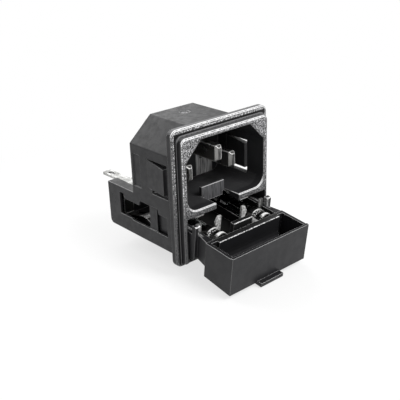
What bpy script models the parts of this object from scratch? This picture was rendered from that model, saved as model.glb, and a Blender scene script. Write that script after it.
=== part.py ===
# Power entry module: a snap-in appliance inlet with a drawer for two fuses.
#
# The origin is on the flange's back face, which lies on the panel: in the middle
# of its width, and halfway up the narrow border that shows above the shroud.
# The front looks along -Y, +X is to the right seen from the front, +Z is up.
# Every length below is in millimetres and every angle in degrees.

import math

import bmesh
import bpy
from mathutils import Vector

MM = 0.001

# Flange and the raised frame on its front
FLANGE_SIDE_LIP = 1.6
FLANGE_FOOT = 2.2
FLANGE_THICKNESS = 1.7
FLANGE_RADIUS = 1.8
FLANGE_EDGE = 0.3
FRAME_RAISE = 1.8
FRAME_SIDE_BORDER = 1.45
FRAME_TOP_BORDER = 1.9
FRAME_BOTTOM_BORDER = 1.1
FRAME_RADIUS = 1.3
FRAME_EDGE = 0.35
FRAME_FOOT_RADIUS = 0.25
LEAST_RADIUS = 0.1

# Inlet cavity, with its two cut top corners
CAVITY_WIDTH = 24.9
CAVITY_HEIGHT = 16.8
CAVITY_CHAMFER = 4.65
CAVITY_RADIUS = 3.0
CAVITY_DEPTH = 16.7
CAVITY_TOP_RIM = 1.2
CAVITY_LEAD_IN = 0.25
CAVITY_SLANT_RADIUS = 0.5

# Body behind the flange: the inlet shroud above, the fuse block below
SHROUD_WALL = 1.15
BODY_FILLET = 0.5
SHROUD_TOP_GAP = 1.3
SHROUD_SLANT = 6.7
SHROUD_CHAMFER_DROP = 5.8
SHROUD_INSET_SHARE = 0.4
BLOCK_TOP_DROP = 0.1
BLOCK_FILLET = 1.2
BLOCK_TOP_FILLET = 0.3
CHAMBER_SIDE_WALL = 0.7
CHAMBER_REAR_WALL = 0.8
CHAMBER_FLOOR = 0.9
CHAMBER_REAR_SPACE = 1.1
CHAMBER_FLOOR_SPACE = 1.2
CHAMBER_FRONT_CUT = 6.6
CAVITY_FLOOR = 1.1

# Drawer opening in the flange
BAR_HEIGHT = 1.5
SILL_HEIGHT = 1.05
GAP_WIDTH = 7.5

# Interlock tongue that stands in the cavity behind the gap of the bar
TONGUE_SETBACK = 5.3
TONGUE_THICKNESS = 0.9
TONGUE_RISE = 2.45

# Snap tongues in the shroud's sides
SNAP_FRONT = 3.4
SNAP_LENGTH = 6.6
SNAP_RISE = 2.7
SNAP_FRONT_HEIGHT = 6.6
SNAP_ROOT_HEIGHT = 7.6
SNAP_SLOT = 0.9
SNAP_PROUD = 0.45
SNAP_SLOT_SHORTER = 1.5
SNAP_ROOT_STEP = 0.2

# Windows in the fuse block's sides
WINDOW_FRONT = 3.4
WINDOW_REAR_SETBACK = 5.0
WINDOW_LOWER_LIP = 3.8
WINDOW_HEIGHT = 5.0
WINDOW_STEP = 1.3
WINDOW_STEP_FRONT = 7.0
WINDOW_STEP_SETBACK = 8.2
WINDOW_REAR_STEP = 2.0
WINDOW_LEDGE = 0.4
WINDOW_LEDGE_LENGTH = 4.6
WINDOW_SLANT = 0.4
WINDOW_LEDGE_SLANT = 1.0
RIB_FRONT = 7.6
RIB_WIDTH = 2.9
RIB_RECESS = 0.3
RIB_OVERLAP = 0.6

# Shallow recess on each side of the shroud, and the moulding mark on its top
PANEL_DEPTH = 0.25
PANEL_SETBACK = 3.6
PANEL_LENGTH = 2.8
PANEL_RISE = 2.0
PANEL_HEIGHT = 8.4
MARK_RADIUS = 1.3
MARK_DEPTH = 0.2
MARK_FORWARD = 11.5

# Pins
PIN_WIDTH = 2.0
PIN_HEIGHT = 4.0
PIN_TIP = 0.55
PIN_TIP_SLOPE = 1.4
PIN_TIP_RADIUS = 0.2
PIN_RADIUS = 0.3
PIN_PITCH = 14.0
PIN_DROP = 1.6
EARTH_RISE = 4.0
PIN_SETBACK = 5.2
EARTH_SETBACK = 2.5
PIN_CLEARANCE = 0.15
BACK_WALL = 1.7

# Earth tab, solder tabs and sheet-metal contacts
EARTH_TAB_HEIGHT = 6.3
EARTH_TAB_THICKNESS = 0.8
EARTH_TAB_REACH = 11.5
EARTH_TAB_CORNER = 1.1
EARTH_HOLE_RADIUS = 0.8
EARTH_HOLE_SETBACK = 2.2
EARTH_NECK = 2.4
SOLDER_TAB_WIDTH = 2.8
SOLDER_TAB_THICKNESS = 0.6
SOLDER_TAB_INSET = 4.6
SOLDER_TAB_REACH = 7.3
SOLDER_TAB_ROOT = 6.0
SOLDER_TAB_CORNER = 0.4
SOLDER_HOLE_WIDTH = 1.2
SOLDER_HOLE_LENGTH = 2.6
SOLDER_HOLE_EDGE = 1.3
RECESS_INSET = 3.0
RECESS_LENGTH = 5.0
SHEET = 0.3
CONTACT_WIDTH = 2.8
CONTACT_BEND = 5.0
CONTACT_TIP = 1.5
CONTACT_TIP_DROP = 1.28
CONTACT_RISE = 1.5
REAR_CONTACT_WIDTH = 3.0
REAR_CONTACT_FOLD = 3.4
REAR_CONTACT_SHIFT = 0.95
LEAF_RADIUS = 4.2
LEAF_SWEEP = 0.55
LEAF_SETBACK = 13.3
REAR_PLATE_THICKNESS = 0.7
REAR_PLATE_INSET = 0.15
REAR_WALL = 1.0
REAR_RECESS_DEPTH = 1.6

# Fuses
FUSE_LENGTH = 20.0
FUSE_CAP_RADIUS = 2.6
FUSE_CAP_LENGTH = 5.2
FUSE_CAP_WALL = 0.3
FUSE_CAP_END = 0.5
FUSE_CAP_EDGE = 0.25
FUSE_SETBACK = 0.4
FUSE_GLASS_GAP = 0.15
FUSE_GLASS_WALL = 0.45
FUSE_WIRE_RADIUS = 0.15
FUSE_INSET = 6.15

# Drawer, in its closed place
DRAWER_BOX_DEPTH = 8.8
DRAWER_FOOT = 0.3
DRAWER_TAPER = 0.6
DRAWER_TOP_GAP = 1.0
DRAWER_WALL = 0.9
DRAWER_LIP = 0.2
DRAWER_LIP_NARROWER = 0.2
TROUGH_RADIUS = 3.1
TROUGH_INSET = 2.5
TROUGH_FLOOR = 1.1
TROUGH_POCKET = 6.6
ARM_INSET = 1.0
ARM_FLARE = 0.8
ARM_FLARE_LENGTH = 3.6
ARM_SHORTER = 0.7
ARM_DROP = 0.9
KEEL_FRONT = 3.6
KEEL_DROP = 0.8
KEEL_SLANT = 2.0
ARM_ROOT = 0.4
ARM_SKIN = 0.2
CRADLE_FLOOR = 0.5
CRADLE_CLEARANCE = 0.3
CRADLE_SIDE = 0.15
WEB_FRONT = 0.9
WEB_LENGTH = 1.2
WEB_GAP = 1.75
WEB_FLOOR = 0.8
CLIP_SETBACK = 4.9
CLIP_THICKNESS = 0.6
CLIP_TOP_GAP = 0.3
CLIP_GROOVE = 0.65
CLIP_INNER_REACH = 4.0
CLIP_OUTER_REACH = 3.4
CLIP_TOP_WIDTH = 1.0
CLIP_BARB = 2.25
CLIP_BARB_DROP = 1.4
CLIP_SHOULDER = 2.35
CLIP_SLOT_GAP = 0.2
WING_SETBACK = 3.8
WING_INSET = 0.1
POST_LENGTH = 1.2
POST_WIDTH = 1.5
POST_RISE = 2.1
POST_GAP = 0.25
PULL_WIDTH = 7.4
PULL_REACH = 1.35
PULL_DROP = 0.8
PULL_THICKNESS = 1.1
PULL_EDGE = 0.15
PULL_OVERLAP = 0.1

# Drawer travel: the guides let the drawer sink as it comes out, so it swings
# on a long radius about a line far below the module
DRAWER_TRAVEL = 14.3
DRAWER_DROOP = 7.2
GUIDE_SETBACK = 20.0
DRAWER_CLEARANCE = 0.2

CLEARANCE = 0.3
SLACK = 0.05
OVERSHOOT = 1.0
BITE = 0.1
SMOOTH_ANGLE = 40
ROUND_STEPS = 6
SIDES = ((-1, "left"), (1, "right"))

# Levels and planes worked out from the sizes above
FRONT_Y = -(FLANGE_THICKNESS + FRAME_RAISE)
BODY_WIDTH = CAVITY_WIDTH + 2 * SHROUD_WALL
FLANGE_WIDTH = BODY_WIDTH + 2 * FLANGE_SIDE_LIP
FLANGE_TOP = SHROUD_TOP_GAP / 2
FRAME_TOP = FLANGE_TOP - FRAME_TOP_BORDER
CAVITY_TOP = FRAME_TOP - CAVITY_TOP_RIM
CAVITY_BOTTOM = CAVITY_TOP - CAVITY_HEIGHT
CAVITY_BACK = FRONT_Y + CAVITY_DEPTH
REAR_RECESS = CAVITY_BACK + BACK_WALL
SHROUD_DEPTH = REAR_RECESS + REAR_RECESS_DEPTH
BAR_BOTTOM = CAVITY_BOTTOM - BAR_HEIGHT
SNAP_BOTTOM = CAVITY_BOTTOM + SNAP_RISE
PANEL_BOTTOM = CAVITY_BOTTOM + PANEL_RISE
SHROUD_TOP = FLANGE_TOP - SHROUD_TOP_GAP
SHROUD_SHOULDER = SHROUD_TOP - SHROUD_CHAMFER_DROP
BLOCK_TOP = CAVITY_BOTTOM - BLOCK_TOP_DROP
CEILING = CAVITY_BOTTOM - CAVITY_FLOOR
CHAMBER_HALF = BODY_WIDTH / 2 - CHAMBER_SIDE_WALL
PIN_Z = CAVITY_TOP - CAVITY_HEIGHT / 2 - PIN_DROP
EARTH_Z = PIN_Z + EARTH_RISE
DRAWER_HALF = CHAMBER_HALF - DRAWER_CLEARANCE
DRAWER_TOP = BAR_BOTTOM - DRAWER_TOP_GAP
DRAWER_BACK = FRONT_Y + DRAWER_BOX_DEPTH
CONTACT_UNDER = CEILING - SHEET - CLEARANCE - SLACK
FUSE_X = BODY_WIDTH / 2 - FUSE_INSET
FUSE_Z = CONTACT_UNDER - CLEARANCE - SLACK - FUSE_CAP_RADIUS
FUSE_FRONT = DRAWER_BACK + FUSE_SETBACK
FUSE_REAR = FUSE_FRONT + FUSE_LENGTH
CRADLE_RADIUS = FUSE_CAP_RADIUS + CRADLE_CLEARANCE
CRADLE_BOTTOM = FUSE_Z - CRADLE_RADIUS - CRADLE_FLOOR
WEB_TOP = CEILING - CLEARANCE
CHAMBER_BACK = FUSE_REAR + CHAMBER_REAR_SPACE
BLOCK_DEPTH = CHAMBER_BACK + CHAMBER_REAR_WALL
RECESS_FRONT = BLOCK_DEPTH - RECESS_LENGTH
CHAMBER_BOTTOM = CRADLE_BOTTOM - ARM_DROP - KEEL_DROP - CHAMBER_FLOOR_SPACE
BLOCK_BOTTOM = CHAMBER_BOTTOM - CHAMBER_FLOOR
FLANGE_BOTTOM = BLOCK_BOTTOM - FLANGE_FOOT
FRAME_BOTTOM = FLANGE_BOTTOM + FRAME_BOTTOM_BORDER
SILL_TOP = FLANGE_BOTTOM + SILL_HEIGHT
DRAWER_BOTTOM = BLOCK_BOTTOM - DRAWER_FOOT
ARM_HALF = DRAWER_HALF - ARM_INSET
WING_HALF = DRAWER_HALF - WING_INSET
WEB_HALF = FUSE_X - FUSE_CAP_RADIUS - WEB_GAP
POST_TOP = DRAWER_TOP + POST_RISE
TAB_BOTTOM = CONTACT_UNDER + SHEET + CLEARANCE
TAB_TOP = TAB_BOTTOM + SOLDER_TAB_THICKNESS
SOLDER_TAB_START = CHAMBER_BACK - SOLDER_TAB_ROOT
GUIDE_RADIUS = DRAWER_TRAVEL / math.radians(DRAWER_DROOP)
GUIDE_AXIS = Vector((0.0, GUIDE_SETBACK, (DRAWER_TOP + DRAWER_BOTTOM) / 2 - GUIDE_RADIUS))


def clear_scene():
    for item in list(bpy.data.objects):
        bpy.data.objects.remove(item, do_unlink=True)


def material(name, colour, roughness, metallic=0.0, transmission=0.0):
    made = bpy.data.materials.new(name)
    made.use_nodes = True
    shader = made.node_tree.nodes["Principled BSDF"]
    shader.inputs["Base Color"].default_value = (*colour, 1.0)
    shader.inputs["Roughness"].default_value = roughness
    shader.inputs["Metallic"].default_value = metallic
    shader.inputs["Transmission Weight"].default_value = transmission
    made.diffuse_color = (*colour, 1.0)
    return made


def loft(name, rings, finish=None, smooth=False):
    """Closed solid through rings of 3-D points in millimetres, capped at both ends."""
    shape = bmesh.new()
    loops = [[shape.verts.new(Vector(point) * MM) for point in ring] for ring in rings]
    count = len(loops[0])
    for near, far in zip(loops, loops[1:]):
        for i in range(count):
            j = (i + 1) % count
            shape.faces.new((near[i], near[j], far[j], far[i]))
    shape.faces.new(loops[0])
    shape.faces.new(loops[-1])
    bmesh.ops.recalc_face_normals(shape, faces=shape.faces)
    mesh = bpy.data.meshes.new(name)
    shape.to_mesh(mesh)
    shape.free()
    if smooth:
        mesh.shade_smooth()
        mesh.set_sharp_from_angle(angle=math.radians(SMOOTH_ANGLE))
    made = bpy.data.objects.new(name, mesh)
    bpy.context.collection.objects.link(made)
    if finish:
        mesh.materials.append(finish)
    return made


def along(axis, outline, place):
    """Turns 2-D outline points into 3-D ones on a plane across the axis."""
    if axis == "X":
        return [(place, u, v) for u, v in outline]
    if axis == "Y":
        return [(u, place, v) for u, v in outline]
    return [(u, v, place) for u, v in outline]


def prism(name, axis, outline, start, end, finish=None, smooth=False):
    rings = [along(axis, outline, start), along(axis, outline, end)]
    return loft(name, rings, finish, smooth)


def block(name, x, y, z, finish=None):
    outline = [(x[0], z[0]), (x[1], z[0]), (x[1], z[1]), (x[0], z[1])]
    return prism(name, "Y", outline, y[0], y[1], finish)


def rounded(outline, radii, steps=ROUND_STEPS):
    """Outline with each corner replaced by an arc of the given radius."""
    points = []
    count = len(outline)
    for i, corner in enumerate(outline):
        radius = radii[i]
        here = Vector(corner)
        back = (Vector(outline[i - 1]) - here).normalized()
        ahead = (Vector(outline[(i + 1) % count]) - here).normalized()
        if radius <= 0:
            points.append(tuple(here))
            continue
        half = back.angle(ahead) / 2
        middle = here + (back + ahead).normalized() * (radius / math.sin(half))
        first = here + back * (radius / math.tan(half)) - middle
        last = here + ahead * (radius / math.tan(half)) - middle
        turn = first.angle_signed(last)
        for k in range(steps + 1):
            angle = -turn * k / steps
            spin = Vector((
                first.x * math.cos(angle) - first.y * math.sin(angle),
                first.x * math.sin(angle) + first.y * math.cos(angle),
            ))
            points.append(tuple(middle + spin))
    return points


def circle(centre, radius, steps):
    turn = [2 * math.pi * k / steps for k in range(steps)]
    return [(centre[0] + radius * math.cos(a), centre[1] + radius * math.sin(a)) for a in turn]


def rectangle(left, right, bottom, top):
    return [(left, bottom), (right, bottom), (right, top), (left, top)]


def combine(target, tool, operation):
    tool.hide_render = True
    tool.display_type = "WIRE"
    change = target.modifiers.new(tool.name, "BOOLEAN")
    change.operation = operation
    change.solver = "EXACT"
    change.object = tool


def cut(target, *tools):
    for tool in tools:
        combine(target, tool, "DIFFERENCE")


def join(target, *tools):
    for tool in tools:
        combine(target, tool, "UNION")


def edged_slab(name, outline_at, back, front, edge, finish=None):
    """Slab whose front rim is broken by a small bevel; outline_at takes an inset."""
    rings = [
        along("Y", outline_at(0.0), back),
        along("Y", outline_at(0.0), front + edge),
        along("Y", outline_at(edge), front),
    ]
    return loft(name, rings, finish)


def flange_outline(inset):
    half = FLANGE_WIDTH / 2 - inset
    corners = rectangle(-half, half, FLANGE_BOTTOM + inset, FLANGE_TOP - inset)
    radius = max(FLANGE_RADIUS - inset, LEAST_RADIUS)
    return rounded(corners, [radius] * 4)


def frame_outline(inset):
    half = FLANGE_WIDTH / 2 - FRAME_SIDE_BORDER - inset
    corners = rectangle(-half, half, FRAME_BOTTOM + inset, FRAME_TOP - inset)
    radius = max(FRAME_RADIUS - inset, LEAST_RADIUS)
    return rounded(corners, [FRAME_FOOT_RADIUS, FRAME_FOOT_RADIUS, radius, radius])


def cavity_outline(grow):
    half = CAVITY_WIDTH / 2 + grow
    top = CAVITY_TOP + grow
    bottom = CAVITY_BOTTOM - grow
    cut_off = CAVITY_CHAMFER + grow * (2 - math.sqrt(2))
    corners = [
        (-half, bottom),
        (half, bottom),
        (half, top - cut_off),
        (half - cut_off, top),
        (-half + cut_off, top),
        (-half, top - cut_off),
    ]
    return rounded(corners, [CAVITY_RADIUS] * 2 + [CAVITY_SLANT_RADIUS] * 4)


def shroud_outline(inset, bottom):
    half = BODY_WIDTH / 2 - inset
    flat = BODY_WIDTH / 2 - SHROUD_SLANT - inset * SHROUD_INSET_SHARE
    top = SHROUD_TOP - inset
    shoulder = SHROUD_SHOULDER - inset * SHROUD_INSET_SHARE
    corners = [
        (-half, bottom),
        (half, bottom),
        (half, shoulder),
        (flat, top),
        (-flat, top),
        (-half, shoulder),
    ]
    return rounded(corners, [0, 0] + [BODY_FILLET] * 4, 3)


def block_outline():
    corners = [
        (-FLANGE_THICKNESS / 2, BLOCK_BOTTOM),
        (BLOCK_DEPTH, BLOCK_BOTTOM),
        (BLOCK_DEPTH, BLOCK_TOP),
        (-FLANGE_THICKNESS / 2, BLOCK_TOP),
    ]
    return rounded(corners, [0, BLOCK_FILLET, BLOCK_TOP_FILLET, 0], 4)


def housing_cuts(body):
    """Openings shared by both halves of the housing."""
    rings = [
        along("Y", cavity_outline(CAVITY_LEAD_IN * 2), FRONT_Y - CAVITY_LEAD_IN),
        along("Y", cavity_outline(0.0), FRONT_Y + CAVITY_LEAD_IN),
        along("Y", cavity_outline(0.0), CAVITY_BACK),
    ]
    cut(body, loft("cavity_cutter", rings))
    side = CHAMBER_HALF
    low = FLANGE_BOTTOM - OVERSHOOT
    before = FRONT_Y - OVERSHOOT
    floor = (BLOCK_BOTTOM - OVERSHOOT, BAR_BOTTOM)
    cut(
        body,
        block("frame_opening", (-side, side), (before, -FLANGE_THICKNESS), (low, BAR_BOTTOM)),
        block("plate_opening", (-side, side), (FRONT_Y, 2 * BITE), (SILL_TOP, BAR_BOTTOM)),
        block("chamber", (-side, side), (BITE, CHAMBER_BACK), (CHAMBER_BOTTOM, CEILING)),
        block("front_floor_opening", (-side, side), (-BITE, CHAMBER_FRONT_CUT), floor),
    )
    gap = GAP_WIDTH / 2
    gap_y = (before, FRONT_Y + TONGUE_SETBACK)
    cut(body, block("bar_gap", (-gap, gap), gap_y, (BAR_BOTTOM - OVERSHOOT, CAVITY_BOTTOM + BITE)))
    rear = shroud_outline(REAR_WALL, CAVITY_BOTTOM + REAR_WALL)
    cut(body, prism("rear_recess", "Y", rear, REAR_RECESS, SHROUD_DEPTH + OVERSHOOT))
    half = BODY_WIDTH / 2 - RECESS_INSET
    recess_y = (RECESS_FRONT, BLOCK_DEPTH + OVERSHOOT)
    recess_z = (TAB_BOTTOM - CLEARANCE, BLOCK_TOP + OVERSHOOT)
    cut(body, block("tab_recess", (-half, half), recess_y, recess_z))


def pin_holes(body):
    reach = (CAVITY_BACK - OVERSHOOT, REAR_RECESS + OVERSHOOT)
    half_width = PIN_WIDTH / 2 + PIN_CLEARANCE
    half_height = PIN_HEIGHT / 2 + PIN_CLEARANCE
    places = [(-PIN_PITCH / 2, PIN_Z), (PIN_PITCH / 2, PIN_Z), (0.0, EARTH_Z)]
    for number, (x, z) in enumerate(places):
        hole = block(
            f"pin_hole_{number}",
            (x - half_width, x + half_width),
            reach,
            (z - half_height, z + half_height),
        )
        cut(body, hole)


def window_outline():
    low = BLOCK_BOTTOM + WINDOW_LOWER_LIP
    step = low + WINDOW_HEIGHT
    high = step + WINDOW_STEP
    rear = BLOCK_DEPTH - WINDOW_REAR_SETBACK
    ledge = rear - WINDOW_LEDGE_LENGTH
    step_rear = rear - WINDOW_STEP_SETBACK
    rear_step = rear - WINDOW_REAR_STEP
    return [
        (WINDOW_FRONT, low),
        (ledge - WINDOW_LEDGE_SLANT, low),
        (ledge, low + WINDOW_LEDGE),
        (rear, low + WINDOW_LEDGE),
        (rear, high),
        (rear_step + WINDOW_SLANT, high),
        (rear_step, step),
        (step_rear, step),
        (step_rear - WINDOW_SLANT, high),
        (WINDOW_STEP_FRONT, high),
        (WINDOW_STEP_FRONT - WINDOW_SLANT, step),
        (WINDOW_FRONT, step),
    ]


def interlock_tongue(body):
    """Upright tongue behind the gap in the bar; it hangs no lower than the bar."""
    gap = GAP_WIDTH / 2
    near = FRONT_Y + TONGUE_SETBACK
    y = (near, near + TONGUE_THICKNESS)
    join(body, block("interlock_tongue", (-gap, gap), y, (BAR_BOTTOM, CAVITY_BOTTOM + TONGUE_RISE)))


def side_window(body, side, tag):
    """Stepped window in the block's side, with an upright rib behind it."""
    inner = side * (CHAMBER_HALF - OVERSHOOT / 2)
    outer = side * (BODY_WIDTH / 2 + OVERSHOOT)
    cut(body, prism(f"{tag}_window", "X", window_outline(), inner, outer))
    low = BLOCK_BOTTOM + WINDOW_LOWER_LIP - RIB_OVERLAP
    high = low + WINDOW_HEIGHT + WINDOW_STEP + 2 * RIB_OVERLAP
    face = BODY_WIDTH / 2 - RIB_RECESS
    x = sorted((side * face, side * CHAMBER_HALF))
    join(body, block(f"{tag}_rib", x, (RIB_FRONT, RIB_FRONT + RIB_WIDTH), (low, high)))


def clip_grooves(body, side, tag):
    """Grooves in the roof that a fuse clip's prongs and the post beside it run along."""
    prong_top = CEILING + CLIP_GROOVE
    prong_rear = CLIP_SETBACK + CLIP_THICKNESS
    runs = {
        "inner_prong": (FUSE_X - CLIP_INNER_REACH, FUSE_X - CLIP_BARB, prong_top, prong_rear),
        "outer_prong": (FUSE_X + CLIP_SHOULDER, FUSE_X + CLIP_OUTER_REACH, prong_top, prong_rear),
        "post": (WING_HALF - POST_WIDTH, WING_HALF, POST_TOP + POST_GAP, WING_SETBACK + POST_LENGTH),
    }
    for name, (near, far, top, rear) in runs.items():
        x = sorted((side * (near - CLEARANCE), side * (far + CLEARANCE)))
        y = (BITE, DRAWER_BACK + rear + CLEARANCE)
        cut(body, block(f"{tag}_{name}_groove", x, y, (CEILING - OVERSHOOT / 2, top)))


def contact_slots(body, side, tag):
    """Slot in the roof for the front contact and notch for the solder tab."""
    centre = side * FUSE_X
    half = CONTACT_WIDTH / 2 + CLEARANCE
    slot = block(
        f"{tag}_contact_slot",
        (centre - half, centre + half),
        (REAR_RECESS - BITE, REAR_RECESS + SHEET + 3 * CLEARANCE),
        (CEILING - OVERSHOOT / 2, CAVITY_BOTTOM + REAR_WALL + OVERSHOOT / 2),
    )
    centre = side * (BODY_WIDTH / 2 - SOLDER_TAB_INSET)
    half = SOLDER_TAB_WIDTH / 2 + CLEARANCE
    notch = block(
        f"{tag}_tab_notch",
        (centre - half, centre + half),
        (SOLDER_TAB_START - CLEARANCE, RECESS_FRONT + OVERSHOOT / 2),
        (CEILING - OVERSHOOT / 2, BLOCK_TOP + OVERSHOOT / 2),
    )
    cut(body, slot, notch)


def snap_tongue(body, side, tag):
    """Springy tongue in the shroud's side that holds the panel from behind."""
    outer = side * (BODY_WIDTH / 2 + OVERSHOOT)
    back = SNAP_FRONT + SNAP_LENGTH
    top = SNAP_BOTTOM + SNAP_ROOT_HEIGHT
    root = SNAP_BOTTOM + SNAP_ROOT_STEP
    slot_back = back - SNAP_SLOT_SHORTER
    slot_outline = [
        (SNAP_FRONT - SNAP_SLOT, SNAP_BOTTOM - SNAP_SLOT),
        (slot_back, SNAP_BOTTOM - SNAP_SLOT),
        (slot_back, root),
        (back, root),
        (back, top),
        (SNAP_FRONT - SNAP_SLOT, top),
    ]
    through = side * (CAVITY_WIDTH / 2 - OVERSHOOT)
    cut(body, prism(f"{tag}_snap_slot", "X", slot_outline, through, outer))
    tongue_outline = [
        (SNAP_FRONT, SNAP_BOTTOM),
        (back + 2 * BITE, root),
        (back + 2 * BITE, top),
        (SNAP_FRONT, SNAP_BOTTOM + SNAP_FRONT_HEIGHT),
    ]
    wall = BODY_WIDTH / 2
    inner_face = CAVITY_WIDTH / 2 + BITE
    root_ring = [(side * inner_face, u, v) for u, v in tongue_outline]
    proud = [SNAP_PROUD, 0.0, 0.0, SNAP_PROUD]
    outer_ring = [(side * (wall + p), u, v) for (u, v), p in zip(tongue_outline, proud)]
    join(body, loft(f"{tag}_snap_tongue", [root_ring, outer_ring]))


def side_panel(body, side, tag):
    """Shallow bare recess near the rear of the shroud's side."""
    x = sorted((side * (BODY_WIDTH / 2 - PANEL_DEPTH), side * (BODY_WIDTH / 2 + OVERSHOOT)))
    front = SHROUD_DEPTH - PANEL_SETBACK
    y = (front, front + PANEL_LENGTH)
    cut(body, block(f"{tag}_panel", x, y, (PANEL_BOTTOM, PANEL_BOTTOM + PANEL_HEIGHT)))


def housing(finish):
    body = edged_slab("housing", flange_outline, 0.0, -FLANGE_THICKNESS, FLANGE_EDGE, finish)
    frame = edged_slab("raised_frame", frame_outline, -FLANGE_THICKNESS / 2, FRONT_Y, FRAME_EDGE)
    shroud = shroud_outline(0.0, BLOCK_TOP - OVERSHOOT)
    half = BODY_WIDTH / 2
    join(
        body,
        frame,
        prism("shroud", "Y", shroud, -FLANGE_THICKNESS / 2, SHROUD_DEPTH),
        prism("fuse_block", "X", block_outline(), -half, half),
    )
    housing_cuts(body)
    pin_holes(body)
    interlock_tongue(body)
    for side, tag in SIDES:
        side_window(body, side, tag)
        clip_grooves(body, side, tag)
        contact_slots(body, side, tag)
        side_panel(body, side, tag)
        snap_tongue(body, side, tag)
    mark = circle((0.0, MARK_FORWARD), MARK_RADIUS, 24)
    cut(body, prism("moulding_mark", "Z", mark, SHROUD_TOP - MARK_DEPTH, SHROUD_TOP + OVERSHOOT))
    return body


def rear_plate(finish):
    start = SHROUD_DEPTH - REAR_PLATE_INSET - REAR_PLATE_THICKNESS
    outline = shroud_outline(REAR_WALL + CLEARANCE, CAVITY_BOTTOM + REAR_WALL + CLEARANCE)
    plate = prism("rear_plate", "Y", outline, start, start + REAR_PLATE_THICKNESS, finish)
    half = EARTH_TAB_THICKNESS / 2 + CLEARANCE
    tall = EARTH_TAB_HEIGHT / 2 + CLEARANCE
    y = (start - OVERSHOOT, SHROUD_DEPTH + OVERSHOOT)
    cut(plate, block("earth_slot", (-half, half), y, (EARTH_Z - tall, EARTH_Z + tall)))
    return plate


def blade_rings(x, z, tip, tail):
    """Pin blade with its tip drawn in on all four sides."""
    wide = PIN_WIDTH / 2
    tall = PIN_HEIGHT / 2
    drawn = PIN_TIP
    small = rectangle(x - wide + drawn, x + wide - drawn, z - tall + drawn, z + tall - drawn)
    small = rounded(small, [PIN_TIP_RADIUS] * 4, 2)
    full = rounded(rectangle(x - wide, x + wide, z - tall, z + tall), [PIN_RADIUS] * 4, 2)
    shoulder = tip + PIN_TIP_SLOPE * PIN_TIP
    return [along("Y", small, tip), along("Y", full, shoulder), along("Y", full, tail)]


def power_pin(name, x, finish):
    tip = FRONT_Y + PIN_SETBACK
    return loft(name, blade_rings(x, PIN_Z, tip, REAR_RECESS - 2 * BITE), finish)


def earth_pin(finish):
    tip = FRONT_Y + EARTH_SETBACK
    pin = loft("earth_pin", blade_rings(0.0, EARTH_Z, tip, REAR_RECESS + 4 * BITE), finish)
    start = REAR_RECESS - 6 * BITE
    end = SHROUD_DEPTH + EARTH_TAB_REACH
    tall = EARTH_TAB_HEIGHT / 2
    slim = EARTH_NECK / 2
    corner = EARTH_TAB_CORNER
    neck = REAR_RECESS + 2 * BITE
    outline = [
        (start, EARTH_Z - slim),
        (neck, EARTH_Z - slim),
        (neck, EARTH_Z - tall),
        (end - corner, EARTH_Z - tall),
        (end, EARTH_Z - tall + corner),
        (end, EARTH_Z + tall - corner),
        (end - corner, EARTH_Z + tall),
        (neck, EARTH_Z + tall),
        (neck, EARTH_Z + slim),
        (start, EARTH_Z + slim),
    ]
    half = EARTH_TAB_THICKNESS / 2
    join(pin, prism("earth_tab", "X", outline, -half, half))
    hole = circle((end - EARTH_HOLE_SETBACK, EARTH_Z), EARTH_HOLE_RADIUS, 20)
    cut(pin, prism("earth_tab_hole", "X", hole, -OVERSHOOT, OVERSHOOT))
    return pin


def front_contact(name, side, finish):
    """Strip from the pin's tail down through the roof, forward above the fuse and down to a leaf."""
    near = REAR_RECESS + BITE
    far = near + SHEET
    low = CONTACT_UNDER
    top = PIN_Z + CONTACT_RISE
    bend = FUSE_FRONT
    tip = -CONTACT_TIP
    fall = CONTACT_TIP_DROP
    corners = [
        (near, top),
        (near, low + SHEET),
        (bend, low + SHEET),
        (tip, low + SHEET - fall),
        (tip, low - fall),
        (bend, low),
        (far, low),
        (far, top),
    ]
    outline = rounded(corners, [0, SHEET, CONTACT_BEND, 0, 0, CONTACT_BEND, 2 * SHEET, 0], 4)
    half = CONTACT_WIDTH / 2
    centre = side * FUSE_X
    return prism(name, "X", outline, centre - half, centre + half, finish)


def rear_contact(name, side, finish):
    """Strip folded over the rear cap, down the back wall and forward as an arched leaf."""
    far = CHAMBER_BACK - CLEARANCE
    near = far - SHEET
    over = CONTACT_UNDER
    under = CHAMBER_BOTTOM + CLEARANCE
    crest = CRADLE_BOTTOM - CLEARANCE - SHEET
    middle = CHAMBER_BACK - LEAF_SETBACK + LEAF_RADIUS
    drop = crest - LEAF_RADIUS
    turns = [math.pi * (0.5 + LEAF_SWEEP * (k / 6 - 0.5)) for k in range(7)]
    lower = [(middle + LEAF_RADIUS * math.cos(a), drop + LEAF_RADIUS * math.sin(a)) for a in turns]
    thick = LEAF_RADIUS + SHEET
    upper = [(middle + thick * math.cos(a), drop + thick * math.sin(a)) for a in turns]
    outline = [(far - REAR_CONTACT_FOLD, over), (near, over), (near, under + SHEET)]
    outline += upper + lower[::-1]
    outline += [(far, under), (far, over + SHEET), (far - REAR_CONTACT_FOLD, over + SHEET)]
    half = REAR_CONTACT_WIDTH / 2
    centre = side * (FUSE_X + REAR_CONTACT_SHIFT)
    return prism(name, "X", outline, centre - half, centre + half, finish)


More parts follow.
